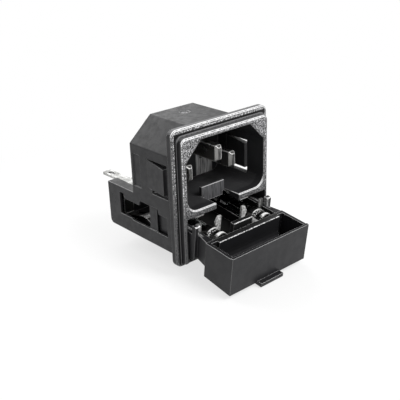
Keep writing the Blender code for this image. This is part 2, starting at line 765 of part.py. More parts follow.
def fuse_clip(name, side, finish):
    """Stamped fork that straddles a fuse behind its front cap, with two upright prongs."""
    top = CEILING + CLIP_GROOVE - CLIP_TOP_GAP - FUSE_Z
    grip = CRADLE_RADIUS
    first = math.acos(CLIP_SHOULDER / grip)
    last = math.acos(-CLIP_BARB / grip) - 2 * math.pi
    arc = [first + (last - first) * k / 16 for k in range(17)]
    outline = [
        (-CLIP_INNER_REACH, -grip - CRADLE_FLOOR),
        (CLIP_OUTER_REACH, -grip - CRADLE_FLOOR),
        (CLIP_OUTER_REACH, top),
        (CLIP_SHOULDER, top),
    ]
    outline += [(grip * math.cos(a), grip * math.sin(a)) for a in arc]
    outline += [
        (-CLIP_BARB, top - CLIP_BARB_DROP),
        (-CLIP_INNER_REACH + CLIP_TOP_WIDTH, top),
        (-CLIP_INNER_REACH, top),
    ]
    placed = [(side * (FUSE_X + u), FUSE_Z + v) for u, v in outline]
    start = DRAWER_BACK + CLIP_SETBACK
    return prism(name, "Y", placed, start, start + CLIP_THICKNESS, finish)


def solder_tab(name, side, finish):
    centre = side * (BODY_WIDTH / 2 - SOLDER_TAB_INSET)
    half = SOLDER_TAB_WIDTH / 2
    start = SOLDER_TAB_START
    end = BLOCK_DEPTH + SOLDER_TAB_REACH
    corner = SOLDER_TAB_CORNER
    outline = [
        (centre - half, start),
        (centre + half, start),
        (centre + half, end - corner),
        (centre + half - corner, end),
        (centre - half + corner, end),
        (centre - half, end - corner),
    ]
    tab = prism(name, "Z", outline, TAB_BOTTOM, TAB_TOP, finish)
    reach = end - SOLDER_HOLE_EDGE
    wide = SOLDER_HOLE_WIDTH / 2
    corners = rectangle(centre - wide, centre + wide, reach - SOLDER_HOLE_LENGTH, reach)
    slot = rounded(corners, [wide * 0.97] * 4, 5)
    cut(tab, prism(f"{name}_slot", "Z", slot, TAB_BOTTOM - OVERSHOOT, TAB_TOP + OVERSHOOT))
    return tab


def guide_empty():
    """The line that the drawer swings on; its turn is the drawer's open place."""
    guide = bpy.data.objects.new("drawer_guide_axis", None)
    guide.location = GUIDE_AXIS * MM
    guide.rotation_euler = (math.radians(DRAWER_DROOP), 0.0, 0.0)
    bpy.context.collection.objects.link(guide)
    return guide


def hang_on_guide(item, guide):
    """Moves a piece drawn in its closed place onto the guide axis."""
    for vertex in item.data.vertices:
        vertex.co -= GUIDE_AXIS * MM
    item.parent = guide
    for change in item.modifiers:
        if change.type == "BOOLEAN":
            hang_on_guide(change.object, guide)


def drawer_box(finish):
    half = DRAWER_HALF
    outline = [
        (FRONT_Y, DRAWER_BOTTOM),
        (DRAWER_BACK, DRAWER_BOTTOM + DRAWER_TAPER),
        (DRAWER_BACK, DRAWER_TOP),
        (FRONT_Y, DRAWER_TOP),
    ]
    box = prism("fuse_drawer", "X", outline, -half, half, finish)
    inner_front = FRONT_Y + DRAWER_WALL
    middle = inner_front + TROUGH_RADIUS
    bottom = DRAWER_TOP - TROUGH_RADIUS - 2 * BITE
    arc = [math.pi + math.pi * k / 12 for k in range(13)]
    trough = [(middle + TROUGH_RADIUS * math.cos(a), bottom + TROUGH_RADIUS * math.sin(a)) for a in arc]
    trough.append((middle + TROUGH_RADIUS, DRAWER_TOP + OVERSHOOT))
    trough.append((inner_front, DRAWER_TOP + OVERSHOOT))
    long_half = DRAWER_HALF - TROUGH_INSET
    cut(box, prism("trough", "X", trough, -long_half, long_half))
    wall = half - DRAWER_WALL
    deep = DRAWER_TOP - TROUGH_POCKET
    back = DRAWER_BACK - DRAWER_WALL
    for side, tag in SIDES:
        x = sorted((side * (long_half - 2 * BITE), side * wall))
        cut(box, block(f"{tag}_pocket", x, (inner_front, back), (deep, DRAWER_TOP + OVERSHOOT)))
    under = (DRAWER_BOTTOM - OVERSHOOT, bottom - TROUGH_RADIUS - TROUGH_FLOOR)
    cut(box, block("underside", (-wall, wall), (inner_front + BITE, back), under))
    lip_back = inner_front - DRAWER_LIP_NARROWER
    lip = rectangle(FRONT_Y, lip_back, DRAWER_TOP - 4 * BITE, DRAWER_TOP + DRAWER_LIP)
    join(box, prism("front_lip", "X", lip, -half, half))
    return box


def drawer_arms(box):
    """Cradles for the two fuses, with the flared and keeled arms that carry them."""
    end = FUSE_REAR - ARM_SHORTER
    start = DRAWER_BACK - ARM_ROOT
    top = DRAWER_TOP - SLACK
    outer = ARM_HALF
    rim = FUSE_X + CRADLE_RADIUS
    inner = FUSE_X - CRADLE_RADIUS - CRADLE_SIDE
    low = CRADLE_BOTTOM - ARM_DROP
    keel_y = DRAWER_BACK + KEEL_FRONT
    wing_y = DRAWER_BACK + WING_SETBACK
    side_wall = [
        (start, low),
        (keel_y, low),
        (keel_y + KEEL_SLANT, low - KEEL_DROP),
        (end, low - KEEL_DROP),
        (end, top),
        (start, top),
    ]
    for side, tag in SIDES:
        join(box, prism(f"{tag}_arm", "X", side_wall, side * rim, side * outer))
        skin = outer - ARM_SKIN
        turns = [-math.pi * k / 12 for k in range(13)]
        arc = [(math.cos(a), math.sin(a)) for a in turns]
        outline = [(FUSE_X + CRADLE_RADIUS * u, FUSE_Z + CRADLE_RADIUS * v) for u, v in arc]
        outline += [(inner, FUSE_Z), (inner, CRADLE_BOTTOM), (skin, CRADLE_BOTTOM), (skin, FUSE_Z)]
        outline = [(side * u, v) for u, v in outline]
        join(box, prism(f"{tag}_cradle", "Y", outline, start, end))
        flare = [
            (side * (outer - ARM_ROOT), start),
            (side * (outer + ARM_FLARE), start),
            (side * (outer + ARM_FLARE), DRAWER_BACK),
            (side * outer, DRAWER_BACK + ARM_FLARE_LENGTH),
            (side * (outer - ARM_ROOT), DRAWER_BACK + ARM_FLARE_LENGTH),
        ]
        join(box, prism(f"{tag}_flare", "Z", flare, low, top))
        wing = [(wing_y, low)] + side_wall[2:5] + [(wing_y, top)]
        join(box, prism(f"{tag}_wing", "X", wing, side * (outer - BITE), side * WING_HALF))
        x = sorted((side * (WING_HALF - POST_WIDTH), side * WING_HALF))
        join(box, block(f"{tag}_post", x, (wing_y, wing_y + POST_LENGTH), (CRADLE_BOTTOM, POST_TOP)))
    web = inner + BITE
    web_y = DRAWER_BACK + WEB_FRONT
    join(
        box,
        block("web_floor", (-web, web), (start, end), (CRADLE_BOTTOM, CRADLE_BOTTOM + WEB_FLOOR)),
        block("web", (-WEB_HALF, WEB_HALF), (web_y, web_y + WEB_LENGTH), (CRADLE_BOTTOM, WEB_TOP)),
    )


def clip_slots(box):
    """Slots across the cradles that the fuse clips stand in."""
    start = DRAWER_BACK + CLIP_SETBACK
    y = (start - CLIP_SLOT_GAP, start + CLIP_THICKNESS + CLIP_SLOT_GAP)
    z = (CRADLE_BOTTOM - CLIP_SLOT_GAP, CEILING)
    near = FUSE_X - CLIP_INNER_REACH - CLIP_SLOT_GAP
    far = FUSE_X + CLIP_OUTER_REACH + CLIP_SLOT_GAP
    for side, tag in SIDES:
        x = sorted((side * near, side * far))
        cut(box, block(f"{tag}_clip_slot", x, y, z))


def fuse_drawer(finish):
    box = drawer_box(finish)
    drawer_arms(box)
    clip_slots(box)
    half = PULL_WIDTH / 2
    low = DRAWER_BOTTOM - PULL_DROP
    root = FRONT_Y + DRAWER_WALL - PULL_OVERLAP
    nose = FRONT_Y - PULL_REACH
    outline = [
        (nose + PULL_EDGE, low),
        (root, low),
        (root, low + PULL_THICKNESS),
        (nose, low + PULL_THICKNESS),
        (nose, low + PULL_EDGE),
    ]
    join(box, prism("pull_tab", "X", outline, -half, half))
    return box


def turned(name, centre_x, profile, finish, steps=32):
    """Solid turned about a fuse's length; profile runs as (y, radius) pairs in a closed loop."""
    shape = bmesh.new()
    rings = []
    for step in range(steps):
        angle = 2 * math.pi * step / steps
        ring = []
        for y, radius in profile:
            x = centre_x + radius * math.cos(angle)
            z = FUSE_Z + radius * math.sin(angle)
            ring.append(shape.verts.new(Vector((x, y, z)) * MM))
        rings.append(ring)
    count = len(profile)
    for step in range(steps):
        here = rings[step]
        ahead = rings[(step + 1) % steps]
        for i in range(count):
            j = (i + 1) % count
            shape.faces.new((here[i], here[j], ahead[j], ahead[i]))
    bmesh.ops.remove_doubles(shape, verts=shape.verts, dist=1e-7)
    bmesh.ops.recalc_face_normals(shape, faces=shape.faces)
    mesh = bpy.data.meshes.new(name)
    shape.to_mesh(mesh)
    shape.free()
    mesh.shade_smooth()
    mesh.set_sharp_from_angle(angle=math.radians(SMOOTH_ANGLE))
    made = bpy.data.objects.new(name, mesh)
    bpy.context.collection.objects.link(made)
    mesh.materials.append(finish)
    return made


def fuse(tag, x, metal, glass, wire):
    """Glass tube fuse: two caps, the tube between them and the wire inside."""
    bore = FUSE_CAP_RADIUS - FUSE_CAP_WALL
    outer = FUSE_CAP_RADIUS
    edge = FUSE_CAP_EDGE
    front = FUSE_FRONT
    rear = FUSE_REAR
    caps = []
    for name, end, way in (("front", front, 1), ("rear", rear, -1)):
        profile = [
            (end, 0.0),
            (end, outer - edge),
            (end + way * edge, outer),
            (end + way * FUSE_CAP_LENGTH, outer),
            (end + way * FUSE_CAP_LENGTH, bore),
            (end + way * FUSE_CAP_END, bore),
            (end + way * FUSE_CAP_END, 0.0),
        ]
        caps.append(turned(f"{tag}_fuse_{name}_cap", x, profile, metal))
    gap = FUSE_CAP_END + FUSE_GLASS_GAP
    tube_outer = bore - FUSE_GLASS_GAP
    tube_inner = tube_outer - FUSE_GLASS_WALL
    tube_profile = [
        (front + gap, tube_inner),
        (front + gap, tube_outer),
        (rear - gap, tube_outer),
        (rear - gap, tube_inner),
    ]
    tube = turned(f"{tag}_fuse_tube", x, tube_profile, glass)
    start = front + FUSE_CAP_END + CLEARANCE
    stop = rear - FUSE_CAP_END - CLEARANCE
    strand = circle((x, FUSE_Z), FUSE_WIRE_RADIUS, 10)
    thread = prism(f"{tag}_fuse_wire", "Y", strand, start, stop, wire, smooth=True)
    return [*caps, tube, thread]


def build():
    clear_scene()
    black = material("black_nylon", (0.018, 0.018, 0.019), 0.45)
    drawer_black = material("drawer_nylon", (0.022, 0.022, 0.023), 0.4)
    board = material("rear_plate_black", (0.03, 0.03, 0.03), 0.6)
    nickel = material("nickel_plated_brass", (0.78, 0.77, 0.74), 0.25, 1.0)
    tin = material("tinned_brass", (0.72, 0.72, 0.7), 0.35, 1.0)
    cap = material("fuse_cap_nickel", (0.8, 0.79, 0.77), 0.2, 1.0)
    clip = material("fuse_clip_nickel", (0.85, 0.84, 0.8), 0.3, 1.0)
    glass = material("fuse_glass", (0.9, 0.94, 0.93), 0.05, 0.0, 0.9)
    wire = material("fuse_wire_tinned", (0.7, 0.68, 0.64), 0.35, 1.0)

    housing(black)
    rear_plate(board)
    earth_pin(nickel)
    for side, tag in SIDES:
        power_pin(f"{tag}_power_pin", side * PIN_PITCH / 2, nickel)
        front_contact(f"{tag}_front_contact", side, tin)
        rear_contact(f"{tag}_rear_contact", side, tin)
        solder_tab(f"{tag}_solder_tab", side, tin)

    guide = guide_empty()
    hang_on_guide(fuse_drawer(drawer_black), guide)
    for side, tag in SIDES:
        hang_on_guide(fuse_clip(f"{tag}_fuse_clip", side, clip), guide)
        for piece in fuse(tag, side * FUSE_X, cap, glass, wire):
            hang_on_guide(piece, guide)


build()
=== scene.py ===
"""Looks of the power entry module: materials, rounded edges, light, floor and camera."""

import math

import bpy
from mathutils import Matrix, Vector


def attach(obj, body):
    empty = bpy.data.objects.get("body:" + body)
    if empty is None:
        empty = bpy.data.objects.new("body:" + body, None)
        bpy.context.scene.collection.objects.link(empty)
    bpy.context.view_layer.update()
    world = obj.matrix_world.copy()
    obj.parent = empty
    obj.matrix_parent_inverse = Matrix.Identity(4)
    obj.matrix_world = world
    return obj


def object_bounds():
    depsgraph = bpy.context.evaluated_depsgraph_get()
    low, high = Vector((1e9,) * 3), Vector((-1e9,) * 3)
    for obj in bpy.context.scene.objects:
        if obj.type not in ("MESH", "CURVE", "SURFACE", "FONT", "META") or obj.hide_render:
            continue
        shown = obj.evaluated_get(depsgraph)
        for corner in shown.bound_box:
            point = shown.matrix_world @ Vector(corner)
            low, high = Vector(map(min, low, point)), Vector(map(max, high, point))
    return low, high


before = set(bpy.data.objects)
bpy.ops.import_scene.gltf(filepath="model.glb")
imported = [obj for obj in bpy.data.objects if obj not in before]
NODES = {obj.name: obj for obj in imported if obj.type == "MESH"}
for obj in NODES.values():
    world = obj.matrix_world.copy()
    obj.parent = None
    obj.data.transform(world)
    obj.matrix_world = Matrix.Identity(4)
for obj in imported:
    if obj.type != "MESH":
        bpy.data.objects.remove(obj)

CAD_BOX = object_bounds()
PAIR = ("left", "right")
MM = 0.001
SOFT = 0.1 * MM

# Camera, fitted to the photograph; AIM_PX is the pixel where the point (0, 0, AIM_LIFT) shows
IMAGE_PX = 400
FOCAL_PX = 678.72
AZIMUTH = math.radians(40.80)
ELEVATION = math.radians(23.52)
ROLL = math.radians(-1.918)
AIM_PX = (217.90, 183.51)
AIM_LIFT = -0.01635
DISTANCE = 0.1645
SENSOR_WIDTH = 36
CLIP_NEAR, CLIP_FAR = 0.005, 20

# Places on the housing
FRAME_FRONT = -3.5 * MM
FRAME_HALF = 13.75 * MM
FRAME_TOP = -1.25 * MM
FRAME_LOW = -32.25 * MM
FLANGE_FRONT = -1.7 * MM
SIDE_CREASE = 0.62 * MM
TOP_CREASE = 0.90 * MM
CAVITY_BACK = 13.2 * MM
CAVITY_FLOOR_Z = (-20.5 * MM, -15.0 * MM)
TONGUE_Y = (1.5 * MM, 2.2 * MM)
TONGUE_EDGE_Y = (1.2 * MM, 2.1 * MM)
TONGUE_HALF = 3.6 * MM
TONGUE_TOP = -14.0 * MM
# Where the painted pool of light lies on the cavity's back wall
LIGHT_POOL_X = (4.5 * MM, 10.0 * MM)
LIGHT_POOL_Z = (-19.4 * MM, -12.5 * MM)
MARK_Y = 11.5 * MM
MARK_RADIUS = 0.9 * MM
# Heights over which the front's painted shade at its foot gives way to its full grain
FADE_LOW = -24.0 * MM
FADE_HIGH = -14.0 * MM
RIM_FADE_HIGH = FADE_HIGH + 8.0 * MM
QUIET_FROM = -0.8 * MM

# The step round the foot of the frame; corner radii are (at the foot, at the head)
STEP_WIDTH = 0.45 * MM
STEP_RAISE = 0.45 * MM
STEP_BITE = 0.05 * MM
STEP_INNER = (0.2 * MM, 1.25 * MM)
STEP_OUTER = (0.6 * MM, 1.75 * MM)
ARC_STEPS = 6

# Places on the drawer at rest; a line of painted highlight dots is (|x| from, |x| to, y, z, reach)
# in mm
TROUGH_BACK = -10.6 * MM
DRAWER_INSIDE_HALF = 10.5 * MM
# Where the posts' painted highlight lies
POST_X = (11.05 * MM, 11.75 * MM)
POST_LOW = -24.4 * MM
POST_FRONT = -7.0 * MM
HIGHLIGHT_LINES = (
    (-1.0, 9.9, -11.10, -24.74, 0.15),
    (-1.0, 2.9, -8.66, -23.32, 0.15),
    (11.0, 12.7, -5.95, -21.95, 0.30),
)

# Pins and clips
PIN_PITCH = 7.0 * MM
PIN_GLINT = 0.48 * MM
# Beyond this |x| the clips are painted dark as shade
CLIP_SHADE_FROM = 9.9 * MM

# The fuses' line leans with the drawer at rest; the front caps start at CAP_START on it, and
# the other places on a cap are counted from there
TILT = math.radians(7.2)
FUSE_AXIS = (0.0, math.cos(TILT), math.sin(TILT))
CAP_START = -8.754 * MM * FUSE_AXIS[1] - 26.63 * MM * FUSE_AXIS[2]
# Places of the caps' painted highlights and of their painted dark rear part
CAP_RIM = (0.2 * MM, 0.88 * MM)
CAP_GLINT = (1.3 * MM, 2.9 * MM)
CAP_STAMPED = (1.8 * MM, 2.9 * MM)
CAP_TAIL = (2.75 * MM, 3.15 * MM)
CAP_FLANK_END = 3.2 * MM

# Tones; pairs are (dark, light)
NYLON = ((0.014, 0.014, 0.015), (0.026, 0.026, 0.028))
# Eroded grain whose light grains are partly a painted sheen; on the rim lighter still, as a
# painted highlight
FRONT_GRAIN_SHEEN = ((0.02, 0.02, 0.021), (0.56, 0.56, 0.57))
RIM_GRAIN_HIGHLIGHT = ((0.03, 0.03, 0.031), (0.80, 0.80, 0.81))
# Painted highlight on slanted faces of the front
SLANT_HIGHLIGHT = (0.85, 0.85, 0.86)
# Tool streaks on the tongue, painted lighter as light falling on it
TONGUE_STREAKS_AND_LIGHT = ((0.035, 0.035, 0.037), (0.11, 0.11, 0.115))
CAVITY_FLOOR = ((0.028, 0.028, 0.029), (0.044, 0.044, 0.046))
# Painted pool of light on the cavity's back wall
LIGHT_POOL_STREAKS = ((0.16, 0.16, 0.16), (0.62, 0.62, 0.62))
# Painted highlight on the flange's top face
LEDGE_HIGHLIGHT = (0.125, 0.125, 0.128)
# Painted shade in the crease round the frame
CREASE_SHADE = (0.004, 0.004, 0.004)
# Mould mark on the roof, painted light as a highlight
MARK_HIGHLIGHT = (0.30, 0.30, 0.305)
# Painted highlight along the top of the frame's step
STEP_TOP_HIGHLIGHT = ((0.07, 0.07, 0.072), (0.19, 0.19, 0.195))
DRAWER_NYLON = ((0.010, 0.010, 0.011), (0.018, 0.018, 0.020))
# Painted shade on the drawer's inner end
DRAWER_INSIDE_SHADE = ((0.008, 0.008, 0.008), (0.014, 0.014, 0.014))
# Painted highlight on the drawer's post corners
POST_HIGHLIGHT = (0.42, 0.42, 0.42)
PLATE_NYLON = ((0.024, 0.024, 0.024), (0.045, 0.044, 0.043))
WHITE = (1.0, 1.0, 1.0)
EDGE_DARK = (0.02, 0.02, 0.021)
# Light tones of the painted edge highlights
HOUSING_EDGE_HIGHLIGHT = (0.90, 0.90, 0.905)
DRAWER_EDGE_HIGHLIGHT = (0.60, 0.60, 0.605)
STEP_EDGE_HIGHLIGHT = (0.22, 0.22, 0.225)
PIN_ENDS = ((0.04, 0.04, 0.04), (0.17, 0.17, 0.165))
# Painted shade on the pins' flanks, then their painted highlight strip
PIN_FLANK_SHADE = (0.44, 0.435, 0.42)
PIN_HIGHLIGHT = (0.97, 0.97, 0.96)
# Painted shade on the clips' outer part
CLIP_OUTER_SHADE = (0.12, 0.12, 0.118)
# Caps: dark tone painted as reflection and shade, light tone as painted highlights
CAP_SHADE_AND_HIGHLIGHT = ((0.08, 0.08, 0.078), (1.0, 1.0, 0.99))
GLASS = ((0.90, 0.95, 0.94), (0.97, 0.99, 0.98))

# Shares: of light grains left at the foot of the front, which is painted shade there, and of the
# painted edge highlight left on quieter edges and on the interlock tongue's edges
FRAME_SHADED_FOOT_SHARE = 0.10
RIM_SHADED_FOOT_SHARE = 0.16
QUIET_SHARE = 0.22
TONGUE_EDGE_HIGHLIGHT = 0.55

# Metals: dark tone, light tone, range of roughness, share of metal
PIN_NICKEL = ((0.62, 0.61, 0.58), (0.80, 0.79, 0.77), (0.22, 0.34), 1.0)
# Near white with little metal: a painted glint on pin edges and contact leaves
GLINT_METAL = ((0.90, 0.89, 0.87), (0.97, 0.97, 0.96), (0.35, 0.5), 0.3)
CONTACT_TIN = ((0.28, 0.28, 0.27), (0.52, 0.52, 0.51), (0.35, 0.5), 0.6)
TAB_EDGE = ((0.08, 0.08, 0.08), (0.16, 0.16, 0.16), (0.4, 0.5), 1.0)
REAR_TIN = ((0.10, 0.10, 0.10), (0.20, 0.20, 0.195), (0.35, 0.5), 1.0)
# Nickel whose near-white light tone, with little metal, is a painted highlight
CLIP_NICKEL_HIGHLIGHT = ((0.22, 0.22, 0.21), (0.98, 0.975, 0.97), (0.42, 0.55), 0.25)
WIRE_TIN = ((0.55, 0.53, 0.50), (0.72, 0.71, 0.68), (0.25, 0.4), 1.0)
CAP_METAL = (1.0, 0.1)

# Noises: scale, detail, roughness
COARSE_GRAIN = (2900, 1.0, 0.6)
FINE_GRAIN = (6200, 1.0, 0.5)
SKIN_GRAIN = (5200, 1.0, 0.5)
DRAWER_GRAIN = (3800, 2.0, 0.6)
PLATE_GRAIN = (4200, 2.0, 0.6)
HOUSING_CLOUD = (160, 3.0, 0.6)
DRAWER_CLOUD = (140, 3.0, 0.55)
PLATE_CLOUD = (220, 3.0, 0.55)
# The next two: patches of the painted edge highlight, and the painted highlight dots
HIGHLIGHT_PATCHES = (1900, 2.0, 0.6)
HIGHLIGHT_DOTS = (2400, 1.0, 0.5)
TONGUE_LINES = (900, 2.0, 0.6)
DRAWN_LINES = (1500, 2.0, 0.6)
ROLLED_LINES = (2600, 2.0, 0.55)
METAL_PATCHES = (420, 3.0, 0.6)
CLIP_PATCHES = (1500, 3.0, 0.6)
CAP_DENTS = (2600, 2.0, 0.7)
GLASS_DUST = (1800, 3.0, 0.6)
GLASS_WAVES = (260, 1.0, 0.4)

# Gloss: patchy roughness is (scale of the patches, lowest, highest)
PLASTIC_SHINE = 0.26
EDGE_SHINE = 0.5
STEP_EDGE_SHINE = 0.4
HOUSING_ROUGH = (700, 0.42, 0.54)
DRAWER_ROUGH = (500, 0.36, 0.48)
PLATE_ROUGH = (900, 0.5, 0.66)
EDGE_ROUGH = (800, 0.30, 0.42)
STEP_ROUGH = (0.45, 0.6)
GRAIN_ROUGH = 0.62
CAP_ROUGH = (0.26, 0.4)
GLASS_ROUGH = (0.02, 0.14)
GLASS_IOR = 1.47

# Fine relief: depths
GRAIN_DEPTH = 0.05 * MM
STEP_DEPTH = 0.02 * MM
EDGE_DEPTH = 0.01 * MM
DRAWER_DEPTH = 0.006 * MM
PLATE_DEPTH = 0.012 * MM
ROLLED_DEPTH = 0.003 * MM
DENT_DEPTH = 0.05 * MM
WAVE_DEPTH = 0.004 * MM

# Rounded edges: widths in mm; the painted highlight on an edge stays where nothing stands within
# the reach given below of it
BEND_ANGLE = math.radians(32)
FLAT_ANGLE = math.radians(0.5)
WELD_REACH = 1e-6
HIGHLIGHT_REACH = 0.8 * MM
HOUSING_ROUND = 0.13
DRAWER_ROUND = 0.05
STAMPED_ROUND = 0.12
STEP_ROUND = 0.12
CAP_ROUND = 0.12
PLATE_ROUND = 0.10
CLIP_ROUND = 0.06
LEAF_ROUND = 0.05

# Light and floor; a lamp is (name, spot, target, size, power)
LAMPS = (
    ("key", (0.10, -0.30, 0.30), (0, 0, -0.015), (0.22, 0.22), 1.6),
    ("top", (0.02, 0.34, 0.24), (0, 0, -0.005), (0.6, 0.26), 1.6),
)
WORLD_FILL = 0.5
FLOOR_HALF = 6.0
FLOOR_ALBEDO = 0.93
FLOOR_FADE = (0.02, 0.10)
FLOOR_GLOW = 0.68
FLOOR_GAP = 0.0002


def add_object(name, data):
    item = bpy.data.objects.new(name, data)
    bpy.context.scene.collection.objects.link(item)
    return item


def place_camera():
    """Camera at the photograph's viewing angle, with no lens shift."""
    side = Vector((math.cos(AZIMUTH), -math.sin(AZIMUTH), 0))
    flat = Vector((-math.sin(AZIMUTH), -math.cos(AZIMUTH), 0)) * math.cos(ELEVATION)
    back = flat + Vector((0, 0, math.sin(ELEVATION)))
    lift = back.cross(side)
    right = side * math.cos(ROLL) + lift * math.sin(ROLL)
    up = -side * math.sin(ROLL) + lift * math.cos(ROLL)
    across = (AIM_PX[0] - IMAGE_PX / 2) * DISTANCE / FOCAL_PX
    rise = (IMAGE_PX / 2 - AIM_PX[1]) * DISTANCE / FOCAL_PX
    spot = -across * right - rise * up + DISTANCE * back + Vector((0, 0, AIM_LIFT))
    lens = bpy.data.cameras.new("photo_camera")
    lens.sensor_width = SENSOR_WIDTH
    lens.lens = FOCAL_PX * lens.sensor_width / IMAGE_PX
    lens.clip_start = CLIP_NEAR
    lens.clip_end = CLIP_FAR
    camera = add_object("photo_camera", lens)
    camera.matrix_world = Matrix((
        (right.x, up.x, back.x, spot.x),
        (right.y, up.y, back.y, spot.y),
        (right.z, up.z, back.z, spot.z),
        (0, 0, 0, 1),
    ))
    bpy.context.scene.camera = camera


class Nodes:
    """Shorthand for one material's node tree. A mask is a value from 0 to 1."""

    def __init__(self, name):
        self.material = bpy.data.materials.new(name)
        self.material.use_nodes = True
        self.tree = self.material.node_tree
        self.shader = self.tree.nodes["Principled BSDF"]
        self.coords = self.tree.nodes.new("ShaderNodeTexCoord")

    def add(self, kind, **values):
        node = self.tree.nodes.new(kind)
        for key, value in values.items():
            setattr(node, key, value)
        return node

    def feed(self, socket, value):
        if isinstance(value, bpy.types.NodeSocket):
            self.tree.links.new(value, socket)
        else:
            socket.default_value = value

    def set(self, **values):
        """Feed the shader's sockets; an underscore stands for a space in their names."""
        for name, value in values.items():
            self.feed(self.shader.inputs[name.replace("_", " ")], value)

    def math(self, operation, *values):
        node = self.add("ShaderNodeMath", operation=operation)
        for socket, value in zip(node.inputs, values):
            self.feed(socket, value)
        return node.outputs[0]

    def axes(self, kind):
        """x, y and z of the object coordinates or of the normal."""
        split = self.add("ShaderNodeSeparateXYZ")
        self.feed(split.inputs[0], self.coords.outputs[kind])
        return split.outputs

    def absolute(self, value):
        return self.math("ABSOLUTE", value)

    def distance(self, first, second):
        squares = [self.math("MULTIPLY", value, value) for value in (first, second)]
        return self.math("SQRT", self.math("ADD", *squares))

    def stretched(self, scale):
        mapping = self.add("ShaderNodeMapping")
        self.feed(mapping.inputs["Vector"], self.coords.outputs["Object"])
        mapping.inputs["Scale"].default_value = scale
        return mapping.outputs[0]

    def noise(self, scale, detail, rough, vector=None):
        node = self.add("ShaderNodeTexNoise")
        self.feed(node.inputs["Vector"], vector or self.coords.outputs["Object"])
        node.inputs["Scale"].default_value = scale
        node.inputs["Detail"].default_value = detail
        node.inputs["Roughness"].default_value = rough
        return node.outputs["Fac"]

    def span(self, value, low, high, to_low=0.0, to_high=1.0):
        """Smooth ramp of a value between two limits."""
        node = self.add("ShaderNodeMapRange")
        node.interpolation_type = "SMOOTHSTEP"
        limits = (("From Min", low), ("From Max", high), ("To Min", to_low), ("To Max", to_high))
        for name, number in limits:
            node.inputs[name].default_value = number
        self.feed(node.inputs["Value"], value)
        return node.outputs["Result"]

    def patchy(self, scale, low, high):
        return self.span(self.noise(scale, 2.0, 0.5), 0.3, 0.7, low, high)

    def below(self, value, edge, soft=SOFT):
        return self.span(value, edge - soft, edge + soft, 1.0, 0.0)

    def above(self, value, edge, soft=SOFT):
        return self.span(value, edge - soft, edge + soft)

    def between(self, value, limits, soft=SOFT):
        return self.both(self.above(value, limits[0], soft), self.below(value, limits[1], soft))

    def either(self, *masks):
        total = masks[0]
        for mask in masks[1:]:
            total = self.math("MAXIMUM", total, mask)
        return total

    def both(self, *masks):
        total = masks[0]
        for mask in masks[1:]:
            total = self.math("MULTIPLY", total, mask)
        return total

    def outside(self, mask):
        return self.math("SUBTRACT", 1.0, mask)

    def blend(self, factor, first, second):
        """Colour between two, by a mask."""
        node = self.add("ShaderNodeMix", data_type="RGBA")
        self.feed(node.inputs[0], factor)
        for socket, colour in ((node.inputs[6], first), (node.inputs[7], second)):
            linked = isinstance(colour, bpy.types.NodeSocket)
            self.feed(socket, colour if linked else (*colour, 1.0))
        return node.outputs[2]

    def mixed(self, factor, first, second):
        """Number between two, by a mask."""
        node = self.add("ShaderNodeMix", data_type="FLOAT")
        self.feed(node.inputs[0], factor)
        self.feed(node.inputs[2], first)
        self.feed(node.inputs[3], second)
        return node.outputs[0]

    def bump(self, height, depth, strength):
        node = self.add("ShaderNodeBump")
        node.inputs["Distance"].default_value = depth
        node.inputs["Strength"].default_value = strength
        self.feed(node.inputs["Height"], height)
        self.feed(self.shader.inputs["Normal"], node.outputs[0])


def speckle(tree, lift=0.0):
    """Grains of two sizes, as spark erosion leaves them; a lift makes more of them light."""
    coarse = tree.math("MULTIPLY", tree.noise(*COARSE_GRAIN), 0.55)
    fine = tree.math("MULTIPLY", tree.noise(*FINE_GRAIN), 0.45)
    return tree.span(tree.math("ADD", coarse, fine), 0.40 - lift, 0.62 - lift)


